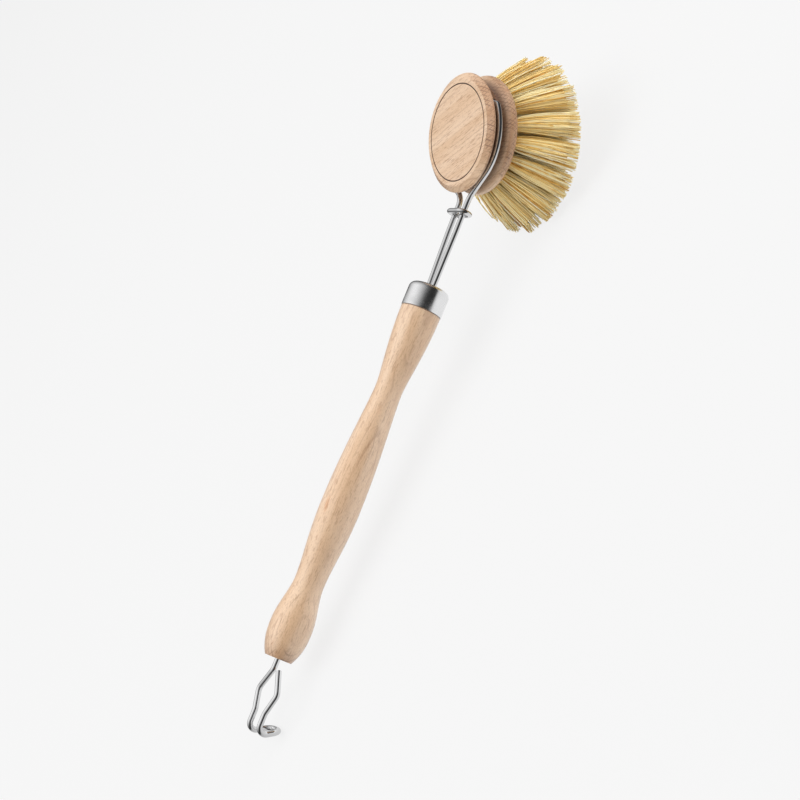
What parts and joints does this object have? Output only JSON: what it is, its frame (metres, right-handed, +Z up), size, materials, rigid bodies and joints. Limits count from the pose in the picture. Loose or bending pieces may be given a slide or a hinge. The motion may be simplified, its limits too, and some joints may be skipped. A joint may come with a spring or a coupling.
{
  "type": "dish brush",
  "caption": "Dish brush with a turned wooden handle, wire hanging hook, metal ferrule and a round tufted head held in a sprung wire yoke that a sliding ring locks.",
  "frame": {"origin": "centre of the bounding box's underside, on the flat top that the brush lies on", "axes": "+X along the handle towards the head, +Z up, with the back of the head uppermost"},
  "size_m": [0.3062, 0.0738, 0.0599],
  "materials": {
    "beech": "bare turned beech, fine grain",
    "ferrule_steel": "polished",
    "yoke_wire": "polished wire",
    "ring_wire": "polished wire",
    "hook_wire": "polished wire",
    "staple_wire": "drawn flat wire",
    "fibre": "pale plant fibre"
  },
  "bodies": {
    "brush": {"handle": "beech", "ferrule": "ferrule_steel", "yoke_root": "yoke_wire", "hook": "hook_wire", "head_block": "beech", "tuft_staples": "staple_wire", "tuft_01": "fibre", "tuft_02": "fibre", "tuft_03": "fibre", "tuft_04": "fibre", "tuft_05": "fibre", "tuft_06": "fibre", "tuft_07": "fibre", "tuft_08": "fibre", "tuft_09": "fibre", "tuft_10": "fibre", "tuft_11": "fibre", "tuft_12": "fibre", "tuft_13": "fibre", "tuft_14": "fibre", "tuft_15": "fibre", "tuft_16": "fibre", "tuft_17": "fibre", "tuft_18": "fibre", "tuft_19": "fibre", "tuft_20": "fibre", "tuft_21": "fibre", "tuft_22": "fibre", "tuft_23": "fibre", "tuft_24": "fibre", "tuft_25": "fibre", "tuft_26": "fibre", "tuft_27": "fibre", "tuft_28": "fibre", "tuft_29": "fibre", "tuft_30": "fibre", "tuft_31": "fibre", "tuft_32": "fibre"},
    "slider": {"slider_ring": "ring_wire"},
    "left_arm": {"left_arm": "yoke_wire"},
    "right_arm": {"right_arm": "yoke_wire"}
  },
  "joints": [
    {"name": "ring_slide", "type": "slide", "parent": "brush", "child": "slider", "axis": [-0.9945, 0, -0.1052], "range_m": [0, 0.031]},
    {"name": "left_arm_spread", "type": "hinge", "parent": "brush", "child": "left_arm", "pos_m": [0.04126, 0.0018, 0.02832], "axis": [-0.1052, 0, 0.9945], "range_deg": [0, 4.3]},
    {"name": "right_arm_spread", "type": "hinge", "parent": "brush", "child": "right_arm", "pos_m": [0.04126, -0.0018, 0.02832], "axis": [-0.1052, 0, 0.9945], "range_deg": [-4.3, 0]}
  ],
  "couplings": [
    {"joint": "left_arm_spread", "follows": "ring_slide", "rad_per_m": 2.3646},
    {"joint": "right_arm_spread", "follows": "ring_slide", "rad_per_m": -2.3646}
  ]
}
